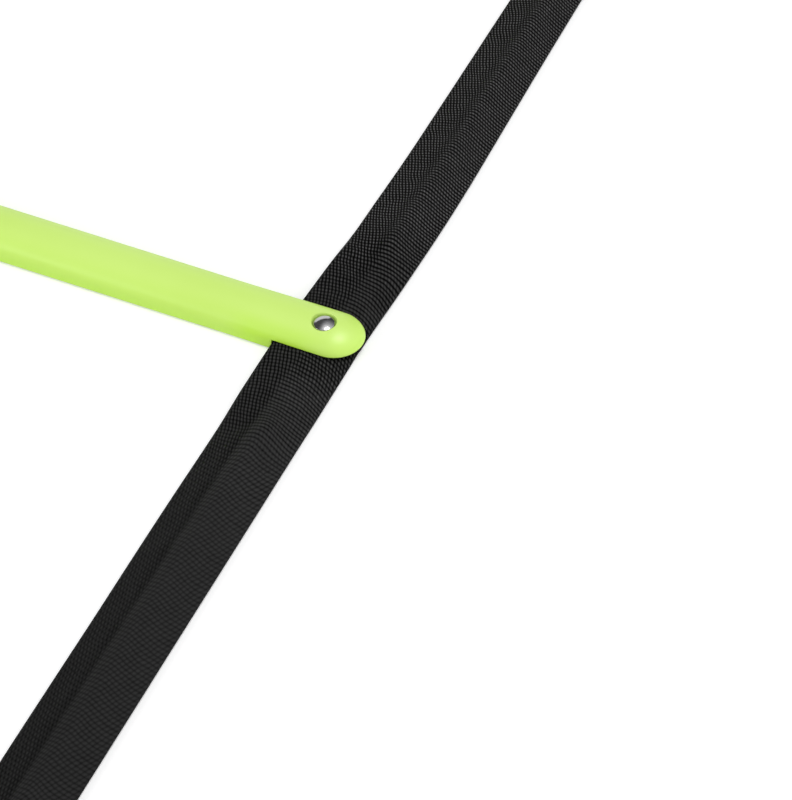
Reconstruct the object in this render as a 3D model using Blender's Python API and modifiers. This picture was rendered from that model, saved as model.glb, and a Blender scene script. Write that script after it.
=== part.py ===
"""An agility ladder: five moulded rungs riveted across two padded strap sleeves that fold between them.

Metres, +Z up. The ladder lies flat on Z = 0 with its rungs along X and its straps along Y, and the
middle rung is centred on the origin. Right is +X, left is -X, front is -Y and back is +Y. Each bay of
strap between two rungs folds up like a tent, so its two halves turn on hinge lines and the rungs stay
level. Every piece hangs under an empty that lies on its hinge line.
"""

from math import cos, pi, radians, sin, sqrt

import bmesh
import bpy
from mathutils import Matrix, Vector

# The whole ladder
RUNG_COUNT = 5
FOOT_SQUARE = 0.381
FIT_GAP = 0.0003
CUT_OVERRUN = 0.003
MERGE_DISTANCE = 0.00002

# Straps
STRAP_WIDTH = 0.040
STRAP_THICK = 0.0052
SEAT_LENGTH = 0.048
EDGE_INSET = 0.0014
EDGE_DROP = 0.0007
FLANGE_THICK = 0.0032
RIDGE_HEIGHT = 0.0112
PUFF_RUN = 0.048
RIDGE_ACROSS_SHARES = (0.09, 0.22, 0.34, 0.45, 0.53, 0.63, 0.76, 0.89)
RIDGE_SHARES = (0.13, 0.44, 0.73, 0.94, 1.0, 0.88, 0.56, 0.20)
PUFF_STEP_SHARES = (0.0, 0.25, 0.5, 0.75, 1.0)

# Rungs
RUNG_WIDTH = 0.0295
RUNG_HEIGHT = 0.0138
RUNG_SIDE = 0.0041
RUNG_PAST_STRAP = 0.0012
RUNG_WALL = 0.0020
RUNG_END_WALL = 0.0030
RIB_THICK = 0.0016
POCKET_COUNT = 9
DOME_SEGMENTS = 24
DOME_RINGS = 12
POCKET_ARCH_STEPS = 8

# Rivets and their washers
RIVET_PAST_MIDDLE = 0.001
SHANK_DIAMETER = 0.0048
HEAD_DIAMETER = 0.0110
HEAD_RIM = 0.0009
HEAD_RISE = 0.0012
DISH_DEPTH = 0.0026
DISH_MARGIN = 0.0006
DISH_FLARE = 0.0012
WASHER_DIAMETER = 0.0100
WASHER_THICK = 0.0008
UPSET_DIAMETER = 0.0068
UPSET_THICK = 0.0005
ROUND_STEPS = 16
HEAD_ARC_STEPS = 3

# Strap tails and their peg eyelets
TAIL_LENGTH = 0.074
HEM_LENGTH = 0.034
HEM_THICK = 0.0044
HEM_END_ROUND = 0.0010
EYELET_INSET = 0.017
EYELET_BORE = 0.010
EYELET_BARREL_WALL = 0.0008
EYELET_FLANGE_DIAMETER = 0.019
EYELET_SHEET = 0.0007
EYELET_STEPS = 20

# Places that follow from the sizes
PITCH = FOOT_SQUARE + RUNG_WIDTH
STRAP_X = (FOOT_SQUARE + STRAP_WIDTH) / 2
RIVET_X = STRAP_X + RIVET_PAST_MIDDLE
RUNG_LENGTH = FOOT_SQUARE + 2 * (STRAP_WIDTH + RUNG_PAST_STRAP)
TAB_BOTTOM = STRAP_THICK + FIT_GAP
DISH_FLOOR = RUNG_HEIGHT - DISH_DEPTH
HOLE_RADIUS = SHANK_DIAMETER / 2 + FIT_GAP
WASHER_BOTTOM = UPSET_THICK + FIT_GAP
WASHER_TOP = WASHER_BOTTOM + WASHER_THICK
RIVET_POCKET = WASHER_TOP + FIT_GAP
HALF_LENGTH = (PITCH - SEAT_LENGTH) / 2
MIDDLE_RUNG = (RUNG_COUNT + 1) // 2
SMOOTH_ANGLE = radians(35)


def clear_scene():
    for obj in list(bpy.data.objects):
        bpy.data.objects.remove(obj)


def new_collection(name):
    collection = bpy.data.collections.new(name)
    bpy.context.scene.collection.children.link(collection)
    return collection


def linear(hex_colour):
    """An sRGB hex colour as linear red, green, blue and alpha."""
    channels = [int(hex_colour[i : i + 2], 16) / 255 for i in (0, 2, 4)]
    return [c / 12.92 if c <= 0.04045 else ((c + 0.055) / 1.055) ** 2.4 for c in channels] + [1]


def material(name, hex_colour, roughness, metallic=0.0):
    made = bpy.data.materials.new(name)
    made.use_nodes = True
    shader = made.node_tree.nodes["Principled BSDF"]
    shader.inputs["Base Color"].default_value = linear(hex_colour)
    shader.inputs["Roughness"].default_value = roughness
    shader.inputs["Metallic"].default_value = metallic
    made.diffuse_color = linear(hex_colour)
    return made


def object_of(name, bm, collection):
    """The mesh made so far as an object of the collection, with its faces turned outwards."""
    bmesh.ops.recalc_face_normals(bm, faces=bm.faces)
    mesh = bpy.data.meshes.new(name)
    bm.to_mesh(mesh)
    bm.free()
    obj = bpy.data.objects.new(name, mesh)
    collection.objects.link(obj)
    return obj


def hide_cutter(obj):
    obj.hide_render = True
    obj.display_type = "WIRE"


def cylinder(name, radius, bottom, top, collection, at=(0, 0), top_radius=None, steps=ROUND_STEPS):
    """An upright cylinder, or a cone where the radius at the top is given."""
    bm = bmesh.new()
    middle = Matrix.Translation((at[0], at[1], (bottom + top) / 2))
    bmesh.ops.create_cone(
        bm,
        cap_ends=True,
        segments=steps,
        radius1=radius,
        radius2=radius if top_radius is None else top_radius,
        depth=top - bottom,
        matrix=middle,
    )
    return object_of(name, bm, collection)


def box(name, low, high, collection):
    bm = bmesh.new()
    low, high = Vector(low), Vector(high)
    scale = Matrix.Diagonal((*(high - low), 1))
    bmesh.ops.create_cube(bm, size=1, matrix=Matrix.Translation((low + high) / 2) @ scale)
    return object_of(name, bm, collection)


def turned(name, profile, steps, collection, closed=False):
    """A solid of revolution about Z. The profile lies at +X and runs down its outer side."""
    bm = bmesh.new()
    points = [bm.verts.new((x, 0, z)) for x, z in profile]
    for a, b in zip(points, points[1:] + points[:1] if closed else points[1:]):
        bm.edges.new((a, b))
    obj = object_of(name, bm, collection)
    screw = obj.modifiers.new("turn", "SCREW")
    screw.steps = steps
    screw.render_steps = steps
    screw.use_merge_vertices = True
    screw.merge_threshold = MERGE_DISTANCE
    return obj


def loft(name, rings, collection):
    """A closed solid through rings that have as many points each."""
    bm = bmesh.new()
    loops = [[bm.verts.new(point) for point in ring] for ring in rings]
    for near, far in zip(loops, loops[1:]):
        for i, point in enumerate(near):
            after = (i + 1) % len(near)
            bm.faces.new((point, near[after], far[after], far[i]))
    bm.faces.new(loops[0])
    bm.faces.new(loops[-1])
    return object_of(name, bm, collection)


def cut(obj, *cutters):
    for cutter in cutters:
        hide_cutter(cutter)
        boolean = obj.modifiers.new("cut " + cutter.name, "BOOLEAN")
        boolean.operation = "DIFFERENCE"
        boolean.object = cutter


def finished_mesh(obj):
    """The object's evaluated mesh, to be shared by every copy of the piece. The object is removed."""
    graph = bpy.context.evaluated_depsgraph_get()
    mesh = bpy.data.meshes.new_from_object(obj.evaluated_get(graph))
    mesh.name = obj.name
    mesh.shade_smooth()
    mesh.set_sharp_from_angle(angle=SMOOTH_ANGLE)
    bpy.data.objects.remove(obj)
    return mesh


def rung_blank(collection):
    """A crowned bar with domed ends and upright sides: the hull of two half spheroids and their feet."""
    radius = RUNG_WIDTH / 2
    rise = RUNG_HEIGHT - RUNG_SIDE
    dome_x = RUNG_LENGTH / 2 - radius
    bm = bmesh.new()
    for side in (-1, 1):
        bmesh.ops.create_uvsphere(
            bm,
            u_segments=DOME_SEGMENTS,
            v_segments=DOME_RINGS,
            radius=1,
            matrix=Matrix.Translation((side * dome_x, 0, RUNG_SIDE))
            @ Matrix.Diagonal((radius, radius, rise, 1)),
        )
    low = [v for v in bm.verts if v.co.z < RUNG_SIDE - FIT_GAP]
    bmesh.ops.delete(bm, geom=low, context="VERTS")
    for v in [v for v in bm.verts if v.co.z < RUNG_SIDE + FIT_GAP]:
        bm.verts.new((v.co.x, v.co.y, 0))
    bmesh.ops.delete(bm, geom=[*bm.edges, *bm.faces], context="EDGES_FACES")
    bmesh.ops.convex_hull(bm, input=bm.verts)
    bmesh.ops.dissolve_limit(bm, angle_limit=radians(1), verts=bm.verts, edges=bm.edges)
    return object_of("rung", bm, collection)


def rung_mesh(collection):
    """The bar, notched over each strap, ribbed underneath, and dished and holed for its rivets."""
    blank = rung_blank(collection)
    cut(blank, *rung_notches(collection), rung_pockets(collection))
    for side in (-1, 1):
        cut(blank, *rivet_seat(side, collection))
    return finished_mesh(blank)


def rung_notches(collection):
    """Each end is cut away below the tab, up to the strap's inner edge."""
    inner = FOOT_SQUARE / 2 - FIT_GAP
    outer = RUNG_LENGTH / 2 + CUT_OVERRUN
    reach = RUNG_WIDTH / 2 + CUT_OVERRUN
    return [
        box(
            f"rung_notch_{name}",
            (min(side * inner, side * outer), -reach, -CUT_OVERRUN),
            (max(side * inner, side * outer), reach, TAB_BOTTOM),
            collection,
        )
        for name, side in (("left", -1), ("right", 1))
    ]


def rung_pockets(collection):
    """The row of arched pockets that leaves an even wall and cross ribs under the crown."""
    radius = RUNG_WIDTH / 2 - RUNG_WALL
    rise = RUNG_HEIGHT - RUNG_SIDE - RUNG_WALL
    span = FOOT_SQUARE - 2 * (FIT_GAP + RUNG_END_WALL)
    pocket = (span - (POCKET_COUNT - 1) * RIB_THICK) / POCKET_COUNT
    arch = [
        (radius * cos(pi * i / POCKET_ARCH_STEPS), RUNG_SIDE + rise * sin(pi * i / POCKET_ARCH_STEPS))
        for i in range(POCKET_ARCH_STEPS + 1)
    ]
    outline = [(radius, -CUT_OVERRUN)] + arch + [(-radius, -CUT_OVERRUN)]
    start = -span / 2
    first = loft(
        "rung_pockets",
        [[(x, y, z) for y, z in outline] for x in (start, start + pocket)],
        collection,
    )
    row = first.modifiers.new("row of pockets", "ARRAY")
    row.count = POCKET_COUNT
    row.use_relative_offset = False
    row.use_constant_offset = True
    row.constant_offset_displace = (pocket + RIB_THICK, 0, 0)
    return first


def rivet_seat(side, collection):
    """The dish that the rivet's head lies in, and the hole for its shank."""
    place = (side * RIVET_X, 0)
    floor_radius = HEAD_DIAMETER / 2 + DISH_MARGIN
    name = "right" if side > 0 else "left"
    dish = cylinder(
        f"rivet_dish_{name}",
        floor_radius,
        DISH_FLOOR,
        RUNG_HEIGHT + CUT_OVERRUN,
        collection,
        place,
        floor_radius + DISH_FLARE,
    )
    hole = cylinder(
        f"rivet_hole_{name}", HOLE_RADIUS, -CUT_OVERRUN, RUNG_HEIGHT, collection, place
    )
    return dish, hole


def strap_ring(y, thick, puff, side):
    """The sleeve's section at y: flat where it is pressed, with its padded ridge where puff is 1.

    The ridge stands nearer the inner edge, which is at -X on the right strap.
    """
    edge = STRAP_WIDTH / 2
    flange = thick + puff * (FLANGE_THICK - thick)
    shoulder = flange - EDGE_DROP
    top = [
        (
            STRAP_WIDTH * across - edge,
            flange + puff * (RIDGE_HEIGHT - FLANGE_THICK) * share,
        )
        for across, share in zip(RIDGE_ACROSS_SHARES, RIDGE_SHARES)
    ]
    ring = [(EDGE_INSET - edge, 0), (-edge, flange / 2), (EDGE_INSET / 2 - edge, shoulder)]
    ring += top
    ring += [(edge - EDGE_INSET / 2, shoulder), (edge, flange / 2), (edge - EDGE_INSET, 0)]
    return [(side * x, y, z) for x, z in ring]


def seat_mesh(collection, cutters):
    """The flat length of strap under a rung, with the rivet's hole and the pocket under it."""
    end = (SEAT_LENGTH - FIT_GAP) / 2
    seat = loft("strap_seat", [strap_ring(y, STRAP_THICK, 0, 1) for y in (-end, end)], collection)
    place = (RIVET_PAST_MIDDLE, 0)
    top = STRAP_THICK + CUT_OVERRUN
    hole = cylinder("seat_hole", HOLE_RADIUS, -CUT_OVERRUN, top, cutters, place)
    pocket = cylinder(
        "seat_pocket", WASHER_DIAMETER / 2 + FIT_GAP, -CUT_OVERRUN, RIVET_POCKET, cutters, place
    )
    cut(seat, hole, pocket)
    return finished_mesh(seat)


def half_bay_mesh(side, collection):
    """Half a bay of strap from its seat, where it is flat, to the crease, where it is full."""
    start = FIT_GAP / 2
    end = HALF_LENGTH - FIT_GAP / 2
    rings = []
    for share in PUFF_STEP_SHARES:
        puff = share * share * (3 - 2 * share)
        rings.append(strap_ring(start + share * PUFF_RUN, STRAP_THICK, puff, side))
    rings.append(strap_ring(end, STRAP_THICK, 1, side))
    return finished_mesh(loft("half_bay", rings, collection))


def tail_mesh(side, collection, cutters):
    """The end of the strap: flat, hemmed, and holed for its eyelet."""
    start = FIT_GAP / 2
    end = TAIL_LENGTH - SEAT_LENGTH / 2
    rings = [
        strap_ring(start, STRAP_THICK, 0, side),
        strap_ring(end - HEM_LENGTH, HEM_THICK, 0, side),
        strap_ring(end - HEM_END_ROUND, HEM_THICK, 0, side),
        strap_ring(end, HEM_THICK - HEM_END_ROUND, 0, side),
    ]
    tail = loft("strap_tail", rings, collection)
    place = (0, end - EYELET_INSET)
    barrel = EYELET_BORE / 2 + EYELET_BARREL_WALL + FIT_GAP
    hole = cylinder(
        "tail_hole", barrel, -CUT_OVERRUN, HEM_THICK + CUT_OVERRUN, cutters, place, steps=EYELET_STEPS
    )
    recess = cylinder(
        "tail_recess",
        EYELET_FLANGE_DIAMETER / 2 + FIT_GAP,
        -CUT_OVERRUN,
        EYELET_SHEET + FIT_GAP,
        cutters,
        place,
        steps=EYELET_STEPS,
    )
    cut(tail, hole, recess)
    return finished_mesh(tail)


def rivet_mesh(collection):
    """A low domed head, a shank, and the end of the shank upset under the washer."""
    head = HEAD_DIAMETER / 2
    shank = SHANK_DIAMETER / 2
    upset = UPSET_DIAMETER / 2
    under_head = DISH_FLOOR + FIT_GAP
    rim_top = under_head + HEAD_RIM
    sphere = (head * head + HEAD_RISE * HEAD_RISE) / (2 * HEAD_RISE)
    centre = rim_top + HEAD_RISE - sphere
    dome = []
    for i in range(HEAD_ARC_STEPS + 1):
        x = head * i / HEAD_ARC_STEPS
        dome.append((x, centre + sqrt(sphere * sphere - x * x)))
    profile = dome + [
        (head, under_head),
        (shank, under_head),
        (shank, UPSET_THICK),
        (upset, UPSET_THICK),
        (upset, 0),
        (0, 0),
    ]
    return finished_mesh(turned("rivet", profile, ROUND_STEPS, collection))


def ring_profile(inner, outer, bottom, top):
    return [(inner, top), (outer, top), (outer, bottom), (inner, bottom)]


def washer_mesh(collection):
    profile = ring_profile(HOLE_RADIUS, WASHER_DIAMETER / 2, WASHER_BOTTOM, WASHER_TOP)
    return finished_mesh(turned("washer", profile, ROUND_STEPS, collection, closed=True))


def eyelet_mesh(collection):
    """A pressed eyelet: a barrel through the hem with a flange on each side."""
    bore = EYELET_BORE / 2
    barrel = bore + EYELET_BARREL_WALL
    flange = EYELET_FLANGE_DIAMETER / 2
    top = HEM_THICK + FIT_GAP + EYELET_SHEET
    profile = [
        (bore, top),
        (flange, top),
        (flange, top - EYELET_SHEET),
        (barrel, top - EYELET_SHEET),
        (barrel, EYELET_SHEET),
        (flange, EYELET_SHEET),
        (flange, 0),
        (bore, 0),
    ]
    return finished_mesh(turned("eyelet", profile, EYELET_STEPS, collection, closed=True))


def rung_y(number):
    return (number - (RUNG_COUNT + 1) / 2) * PITCH


def origin_of(obj):
    """Where an unturned object's origin lies in the world, through its parents."""
    place = Vector(obj.location)
    while obj.parent:
        obj = obj.parent
        place += obj.location
    return place


class Ladder:
    """The collection that the pieces go into, and the empties that carry them."""

    def __init__(self):
        self.pieces = new_collection("agility_ladder")
        self.finish = {
            "rung": material("lime_moulded_plastic", "CFF376", 0.38),
            "strap": material("black_woven_polyester", "1E1E20", 0.85),
            "steel": material("nickel_plated_steel", "B9BABD", 0.25, 1.0),
        }

    def body(self, name, parent, at):
        """An empty on a hinge line, or at the middle of the rung that holds the rest."""
        empty = bpy.data.objects.new(name, None)
        empty.empty_display_size = SEAT_LENGTH / 2
        self.pieces.objects.link(empty)
        empty.parent = parent
        empty.location = Vector(at) - (origin_of(parent) if parent else Vector())
        return empty

    def piece(self, name, mesh, finish, body, at, turn=0.0):
        obj = bpy.data.objects.new(name, mesh)
        if not mesh.materials:
            mesh.materials.append(self.finish[finish])
        self.pieces.objects.link(obj)
        obj.parent = body
        obj.location = Vector(at) - origin_of(body)
        obj.rotation_euler.z = turn
        return obj


def add_station(ladder, number, body, meshes):
    """A rung with the strap seats, rivets and washers that hold it."""
    y = rung_y(number)
    ladder.piece(f"rung_{number}", meshes["rung"], "rung", body, (0, y, 0))
    for name, side, turn in (("left", -1, pi), ("right", 1, 0.0)):
        strap_at = (side * STRAP_X, y, 0)
        rivet_at = (side * RIVET_X, y, 0)
        ladder.piece(f"{name}_strap_seat_{number}", meshes["seat"], "strap", body, strap_at, turn)
        ladder.piece(f"{name}_rivet_{number}", meshes["rivet"], "steel", body, rivet_at)
        ladder.piece(f"{name}_washer_{number}", meshes["washer"], "steel", body, rivet_at)


def add_half_bay(ladder, name, body, hinge_y, along, meshes):
    """The left and right strap of half a bay, which runs from hinge_y towards +Y or -Y."""
    for side_name, side in (("left", -1), ("right", 1)):
        ladder.piece(
            f"{side_name}_strap_{name}",
            meshes["half"][side * along],
            "strap",
            body,
            (side * STRAP_X, hinge_y, 0),
            0.0 if along > 0 else pi,
        )


def add_bay(ladder, station, number, along, meshes):
    """The bay beside a rung, on hinges away from that rung's body, and the empty of the next rung."""
    bay = number if along > 0 else number - 1
    near, far = ("front", "back") if along > 0 else ("back", "front")
    near_hinge = rung_y(number) + along * SEAT_LENGTH / 2
    far_hinge = rung_y(number + along) - along * SEAT_LENGTH / 2
    crease = (near_hinge + far_hinge) / 2
    first = ladder.body(f"bay_{bay}_{near}", station, (0, near_hinge, STRAP_THICK))
    second = ladder.body(f"bay_{bay}_{far}", first, (0, crease, 0))
    following = ladder.body(f"station_{number + along}", second, (0, far_hinge, STRAP_THICK))
    add_half_bay(ladder, f"bay_{bay}_{near}", first, near_hinge, along, meshes)
    add_half_bay(ladder, f"bay_{bay}_{far}", second, far_hinge, -along, meshes)
    return following


def add_tails(ladder, name, station, number, along, meshes):
    """The free ends of both straps beyond the last rung, with their peg eyelets."""
    hinge_y = rung_y(number) + along * SEAT_LENGTH / 2
    eyelet_y = rung_y(number) + along * (TAIL_LENGTH - EYELET_INSET)
    body = ladder.body(f"{name}_tails", station, (0, hinge_y, STRAP_THICK))
    for side_name, side in (("left", -1), ("right", 1)):
        x = side * STRAP_X
        turn = 0.0 if along > 0 else pi
        tail = meshes["tail"][side * along]
        ladder.piece(f"{side_name}_strap_{name}_tail", tail, "strap", body, (x, hinge_y, 0), turn)
        ladder.piece(f"{side_name}_{name}_eyelet", meshes["eyelet"], "steel", body, (x, eyelet_y, 0))


def main():
    clear_scene()
    cutters = new_collection("cutters")
    blanks = new_collection("blanks")
    meshes = {
        "rung": rung_mesh(cutters),
        "seat": seat_mesh(blanks, cutters),
        "half": {side: half_bay_mesh(side, blanks) for side in (-1, 1)},
        "tail": {side: tail_mesh(side, blanks, cutters) for side in (-1, 1)},
        "rivet": rivet_mesh(blanks),
        "washer": washer_mesh(blanks),
        "eyelet": eyelet_mesh(blanks),
    }
    bpy.data.collections.remove(blanks)

    ladder = Ladder()
    middle = ladder.body(f"station_{MIDDLE_RUNG}", None, (0, rung_y(MIDDLE_RUNG), 0))
    add_station(ladder, MIDDLE_RUNG, middle, meshes)
    for end_name, along, last in (("back", 1, RUNG_COUNT), ("front", -1, 1)):
        station = middle
        for number in range(MIDDLE_RUNG, last, along):
            station = add_bay(ladder, station, number, along, meshes)
            add_station(ladder, number + along, station, meshes)
        add_tails(ladder, end_name, station, last, along, meshes)


main()
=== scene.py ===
"""The looks of a flat agility ladder: lime rungs riveted across two padded strap sleeves.

Metres, +Z up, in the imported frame: rungs along X, straps along Y, the middle rung over the origin.
"""

import random
from math import acos, atan2, cos, exp, hypot, pi, radians, sin, sqrt

import bmesh
import bpy
import numpy as np
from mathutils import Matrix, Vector


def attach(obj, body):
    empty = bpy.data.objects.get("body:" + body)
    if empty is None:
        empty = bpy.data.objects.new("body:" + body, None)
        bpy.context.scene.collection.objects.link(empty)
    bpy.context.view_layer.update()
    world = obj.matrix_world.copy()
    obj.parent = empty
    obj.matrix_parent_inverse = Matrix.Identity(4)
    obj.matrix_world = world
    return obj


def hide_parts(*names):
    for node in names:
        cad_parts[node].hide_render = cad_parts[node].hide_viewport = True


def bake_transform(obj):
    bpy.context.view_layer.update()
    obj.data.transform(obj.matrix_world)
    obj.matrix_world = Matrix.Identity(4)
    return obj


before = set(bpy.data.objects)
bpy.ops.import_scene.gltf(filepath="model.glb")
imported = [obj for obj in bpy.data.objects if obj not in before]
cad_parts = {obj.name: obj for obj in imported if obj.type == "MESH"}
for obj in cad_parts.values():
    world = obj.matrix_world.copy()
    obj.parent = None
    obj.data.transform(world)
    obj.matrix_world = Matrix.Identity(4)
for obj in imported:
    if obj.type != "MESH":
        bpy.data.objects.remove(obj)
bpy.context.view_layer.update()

# Sizes shared with the solids
RUNG_COUNT = 5
FOOT_SQUARE = 0.381
RUNG_PITCH = 0.4105
STRAP_WIDTH = 0.040
STRAP_X = (FOOT_SQUARE + STRAP_WIDTH) / 2
STRAP_THICK = 0.0052
SEAT_HALF = 0.024
HALF_BAY = (RUNG_PITCH - 2 * SEAT_HALF) / 2
TAIL_LENGTH = 0.074
RUNG_TIP = STRAP_X + STRAP_WIDTH / 2 + 0.0017
RUNG_HEIGHT = 0.0138
RUNG_SIDE = 0.0041
RUNG_CROWN = RUNG_HEIGHT - RUNG_SIDE
TAB_BOTTOM = 0.0055
NOTCH_X = FOOT_SQUARE / 2 - 0.0003
RIVET_X = STRAP_X + 0.001
DISH_FLOOR = 0.0112
SHANK_HOLE = 0.0027
EYELET_FROM_RUNG = TAIL_LENGTH - 0.017

# The moulding of a rung
BAR_HALF_WIDTH = 0.01485
END_RADIUS = 0.0155
FLARE_RUN = 0.060
DOME_X = RUNG_TIP - END_RADIUS
LIP_ROUND = 0.00035
LIP_TURNS = (0, pi / 6, pi / 3, pi / 2)
FOOT_ROUND = 0.0003
RING_CROWDING = 1.7
CROWN_STEPS = 13
END_ARC_STEPS = 34
END_SIDE_STEPS = 9
CROWN_RINGS = 13
DISH_WALL = (0.0056, 0.0064)
DISH_RADII = (
    0.0052, 0.0056, 0.0057, 0.0058, 0.0059, 0.0060, 0.0061, 0.0062, 0.0063, 0.0064, 0.0066
)
POCKET_HALF_WIDTH = 0.01275
POCKET_RISE = 0.0077
POCKET_STARTS = (-0.0200889, 0.0216889, 0.0634667, 0.1052444, 0.1470222)
POCKET_LENGTH = 0.0401778
POCKET_ARCH_STEPS = 14

# The sleeve's section, as heights in millimetres against the share of its width from the inner edge
SHARES = np.array((0, 0.08, 0.18, 0.28, 0.37, 0.45, 0.52, 0.575, 0.64, 0.72, 0.81, 0.90, 1.0))
FULL_MM = np.array((2.6, 3.8, 5.2, 6.6, 7.9, 9.7, 11.0, 11.4, 10.7, 8.9, 6.7, 4.6, 2.7))
FLAT_FRONT_MM = np.array((4.9, 5.2, 5.2, 5.2, 5.2, 5.2, 5.1, 4.95, 4.7, 4.3, 3.75, 3.1, 2.3))
FLAT_BACK_MM = np.array((4.9, 5.2, 5.2, 5.2, 5.2, 5.2, 5.2, 5.2, 5.2, 5.15, 4.8, 4.0, 2.6))
MM = 0.001

# How far in the inner edge and how far out the outer edge of a sleeve stands, in millimetres,
# against the distance from a rung to the next
PLACES_MM = np.array((0, 15, 35, 66, 98, 130, 165, 205, 245, 281, 330, 375, 410.5))
NARROW_INNER_MM = np.array((0.2, 0.9, 1.9, 3.6, 4.5, 5.4, 5.7, 5.9, 6.0, 6.1, 5.0, 2.0, 0.2))
NARROW_OUTER_MM = np.array((0.2, 0.5, 1.3, 2.2, 2.8, 2.7, 2.0, 1.2, 0.5, 0.1, 0.2, 0.2, 0.0))
WIDE_INNER_MM = np.array(
    (-0.3, -0.35, -0.35, -0.7, -0.7, -0.55, -0.6, -0.6, -0.55, -0.6, -0.4, -0.2, 0.2)
)
WIDE_OUTER_MM = np.array((0.0, 0.2, 0.2, 0.3, 0.35, 0.4, 0.55, 0.6, 0.65, 0.75, 0.6, 0.3, 0.0))
# The same for a bay that is not seen, as shares of a width drawn at random
DRAWN_IN = np.array((0, 0.1, 0.3, 0.6, 0.8, 0.95, 1, 1, 1, 0.9, 0.6, 0.25, 0))
SPREAD = np.array((0, 0.05, 0.35, 0.8, 1, 0.9, 0.5, 0.3, 0.4, 0.6, 0.7, 0.3, 0))


def linear(hex_colour):
    """An sRGB hex colour as linear red, green, blue and alpha."""
    channels = [int(hex_colour[i : i + 2], 16) / 255 for i in (0, 2, 4)]
    return [c / 12.92 if c <= 0.04045 else ((c + 0.055) / 1.055) ** 2.4 for c in channels] + [1]


def smooth(share):
    """0 up to a share of 0, 1 from a share of 1, and an even curve between."""
    share = min(max(share, 0.0), 1.0)
    return share * share * (3 - 2 * share)


def rung_y(number):
    """Where the middle of a rung is along the strap."""
    return (number - (RUNG_COUNT + 1) / 2) * RUNG_PITCH


# Materials


def feed(tree, node, inputs):
    """A value or a link for each input, by name or in the order of the sockets.

    A node given as a value stands for its first output.
    """
    for key, value in inputs.items() if isinstance(inputs, dict) else enumerate(inputs):
        if isinstance(value, bpy.types.Node):
            value = value.outputs[0]
        if isinstance(value, bpy.types.NodeSocket):
            tree.links.new(value, node.inputs[key])
        else:
            node.inputs[key].default_value = value


def add(tree, kind, inputs=(), stops=(), **settings):
    """One shader node with its settings and inputs, and with the stops of a colour ramp."""
    node = tree.nodes.new("ShaderNode" + kind)
    for key, value in settings.items():
        setattr(node, key, value)
    feed(tree, node, inputs)
    for i, (position, shade) in enumerate(stops):
        elements = node.color_ramp.elements
        stop = elements[i] if i < 2 else elements.new(position)
        stop.position, stop.color = position, linear(shade)
    return node


def new_material(name):
    """A material, the tree that it is made of, and its shader."""
    made = bpy.data.materials.new(name)
    made.use_nodes = True
    tree = made.node_tree
    return made, tree, tree.nodes["Principled BSDF"]


def moulded_polypropylene():
    """Lime polypropylene, injection moulded in a fine-blasted mould.

    The eye sees a clean satin skin: soft wide highlights and a grain that only breaks them up.
    The deeper green down the sides, deepest low over the strap, is painted shade.
    """
    made, tree, shader = new_material("moulded_polypropylene_lime")
    place = add(tree, "TexCoord").outputs["Object"]
    # Flow of the melt: patches about 60 mm long
    flow = add(tree, "TexNoise", {"Vector": place, "Scale": 16.0, "Detail": 2.0})
    skin = add(tree, "ValToRGB", (flow,), stops=((0.35, "CFF374"), (0.65, "D2F67A")))
    # Painted shade: the green gets deeper down the sides, towards the foot
    apart = add(tree, "SeparateXYZ", (place,))
    down = add(tree, "MapRange", (apart.outputs["Z"], 0.0020, 0.0134, 1.0, 0.0))
    skin = add(tree, "MixRGB", (down, skin, linear("CCF95A")))
    # Painted shade where the black strap lies under the end: the green is deepest low on the sides,
    # up to 12 mm either way from the notch
    from_middle = add(tree, "Math", (apart.outputs["X"],), operation="ABSOLUTE")
    from_notch = add(tree, "Math", (from_middle, NOTCH_X), operation="SUBTRACT")
    from_notch = add(tree, "Math", (from_notch,), operation="ABSOLUTE")
    thick = add(tree, "MapRange", (from_notch, 0.012, 0.026, 0.85, 0.0))
    side = add(tree, "MapRange", (apart.outputs["Z"], 0.0060, 0.0126, 1.0, 0.0))
    painted_strap_shade = add(tree, "Math", (thick, side), operation="MULTIPLY")
    skin = add(tree, "MixRGB", (painted_strap_shade, skin, linear("C6F93C")))
    # Blasted grain is about 0.05 mm, drawn at 0.5 mm so that it shows
    grain = add(tree, "TexNoise", {"Vector": place, "Scale": 2000.0, "Detail": 1.0})
    fine = add(tree, "Bump", {"Height": grain, "Strength": 0.10, "Distance": 0.0001})
    # Sink of the skin over the ribs and walls, 10 to 20 mm across
    sink = add(tree, "TexNoise", {"Vector": place, "Scale": 70.0, "Detail": 1.0})
    broad = {"Height": sink, "Strength": 0.25, "Distance": 0.0004, "Normal": fine}
    broad = add(tree, "Bump", broad)
    feed(tree, shader, {"Base Color": skin, "Normal": broad})
    feed(tree, shader, {"Roughness": 0.40, "IOR": 1.49, "Specular IOR Level": 0.68})
    return made


# The weave as drawn: how far apart its rows are, and the floats in a row one way and the other
ROWS_APART = 0.0024
FLOATS_APART = 0.00183
CROSSING_FLOATS_APART = 0.0022

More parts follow.
